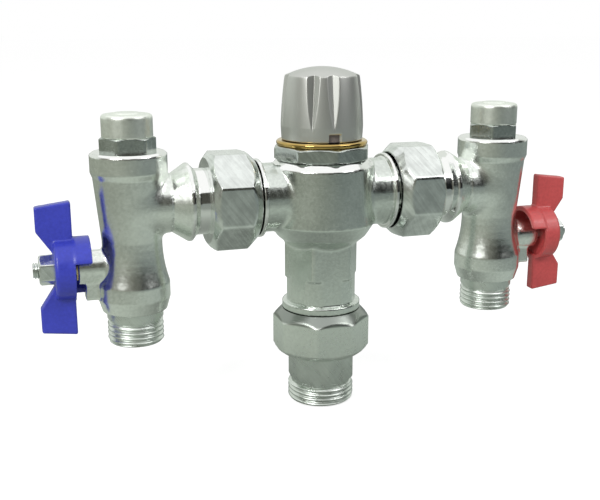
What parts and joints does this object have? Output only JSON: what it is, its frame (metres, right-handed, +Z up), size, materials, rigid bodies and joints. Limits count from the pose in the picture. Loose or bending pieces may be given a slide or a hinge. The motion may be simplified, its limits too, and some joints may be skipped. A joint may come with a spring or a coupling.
{
  "type": "thermostatic mixing valve",
  "caption": "Thermostatic mixing valve with a fluted knob, an outlet union below and, on each arm, a union with an isolator, strainer and non-return valve.",
  "frame": {"origin": "middle of the outlet's lower end face", "axes": "+X along the arms towards the hot side, -Y towards the front, +Z up the body's axis to the knob"},
  "size_m": [0.22, 0.0418, 0.1329],
  "materials": {
    "cast_nickel": "nickel plate on a fine sand casting, dull",
    "turned_nickel": "nickel plate, machined and bright",
    "bright_ring": "polished brass",
    "satin_knob": "satin silver",
    "bare_brass": "turned, not plated",
    "steel": "stainless, drawn or turned",
    "seal": "black, smooth",
    "white_plastic": "moulded",
    "blue_handle": "blue coating on an aluminium casting",
    "red_handle": "red coating on an aluminium casting"
  },
  "bodies": {
    "valve": {"mixing_body": "cast_nickel", "bonnet": "turned_nickel", "bonnet_o_ring": "seal", "trim_ring": "bright_ring", "return_spring": "steel", "outlet_union_nut": "turned_nickel", "outlet_split_ring": "bare_brass", "outlet_gasket": "seal", "outlet_tailpiece": "turned_nickel", "cold_tee_body": "cast_nickel", "cold_union_nut": "turned_nickel", "cold_split_ring": "bare_brass", "cold_union_gasket": "seal", "cold_check_cage": "white_plastic", "cold_check_spring": "steel", "cold_strainer_plug": "turned_nickel", "cold_plug_cap": "turned_nickel", "cold_plug_o_ring": "seal", "cold_strainer_screen": "steel", "cold_ball_seats": "white_plastic", "cold_inlet_adapter": "turned_nickel", "cold_stem_packing": "seal", "cold_gland_nut": "bare_brass", "hot_tee_body": "cast_nickel", "hot_union_nut": "turned_nickel", "hot_split_ring": "bare_brass", "hot_union_gasket": "seal", "hot_check_cage": "white_plastic", "hot_check_spring": "steel", "hot_strainer_plug": "turned_nickel", "hot_plug_cap": "turned_nickel", "hot_plug_o_ring": "seal", "hot_strainer_screen": "steel", "hot_ball_seats": "white_plastic", "hot_inlet_adapter": "turned_nickel", "hot_stem_packing": "seal", "hot_gland_nut": "bare_brass"},
    "knob": {"temperature_knob": "satin_knob", "adjusting_spindle": "bare_brass", "spindle_o_ring": "seal", "spindle_clip": "steel"},
    "control": {"drive_sleeve": "bare_brass", "overtravel_spring": "steel", "element_piston": "steel", "sensing_element": "bare_brass", "shuttle": "white_plastic", "shuttle_o_ring": "seal"},
    "cold_isolator": {"cold_handle": "blue_handle", "cold_handle_nut": "turned_nickel", "cold_stem": "turned_nickel", "cold_ball": "turned_nickel"},
    "cold_non_return": {"cold_check_poppet": "white_plastic"},
    "hot_isolator": {"hot_handle": "red_handle", "hot_handle_nut": "turned_nickel", "hot_stem": "turned_nickel", "hot_ball": "turned_nickel"},
    "hot_non_return": {"hot_check_poppet": "white_plastic"}
  },
  "joints": [
    {"name": "knob_turn", "type": "hinge", "parent": "valve", "child": "knob", "pos_m": [0, 0, 0.1139], "axis": [0, 0, 1], "range_deg": [-180, 180]},
    {"name": "control_lift", "type": "slide", "parent": "valve", "child": "control", "axis": [0, 0, 1], "range_m": [-0.00075, 0.00075], "deforming": ["return_spring"]},
    {"name": "cold_handle_turn", "type": "hinge", "parent": "valve", "child": "cold_isolator", "pos_m": [-0.1, 0, 0.0619], "axis": [1, 0, 0], "range_deg": [0, 90]},
    {"name": "hot_handle_turn", "type": "hinge", "parent": "valve", "child": "hot_isolator", "pos_m": [0.1, 0, 0.0619], "axis": [1, 0, 0], "range_deg": [0, 90]},
    {"name": "cold_non_return_open", "type": "slide", "parent": "valve", "child": "cold_non_return", "axis": [1, 0, 0], "range_m": [0, 0.0025], "stiffness_N_per_m": 180, "springref_m": -0.003, "deforming": ["cold_check_spring"]},
    {"name": "hot_non_return_open", "type": "slide", "parent": "valve", "child": "hot_non_return", "axis": [-1, 0, 0], "range_m": [0, 0.0025], "stiffness_N_per_m": 180, "springref_m": -0.003, "deforming": ["hot_check_spring"]}
  ],
  "couplings": [
    {"joint": "knob_turn", "follows": "control_lift", "rad_per_m": 4188.8}
  ]
}
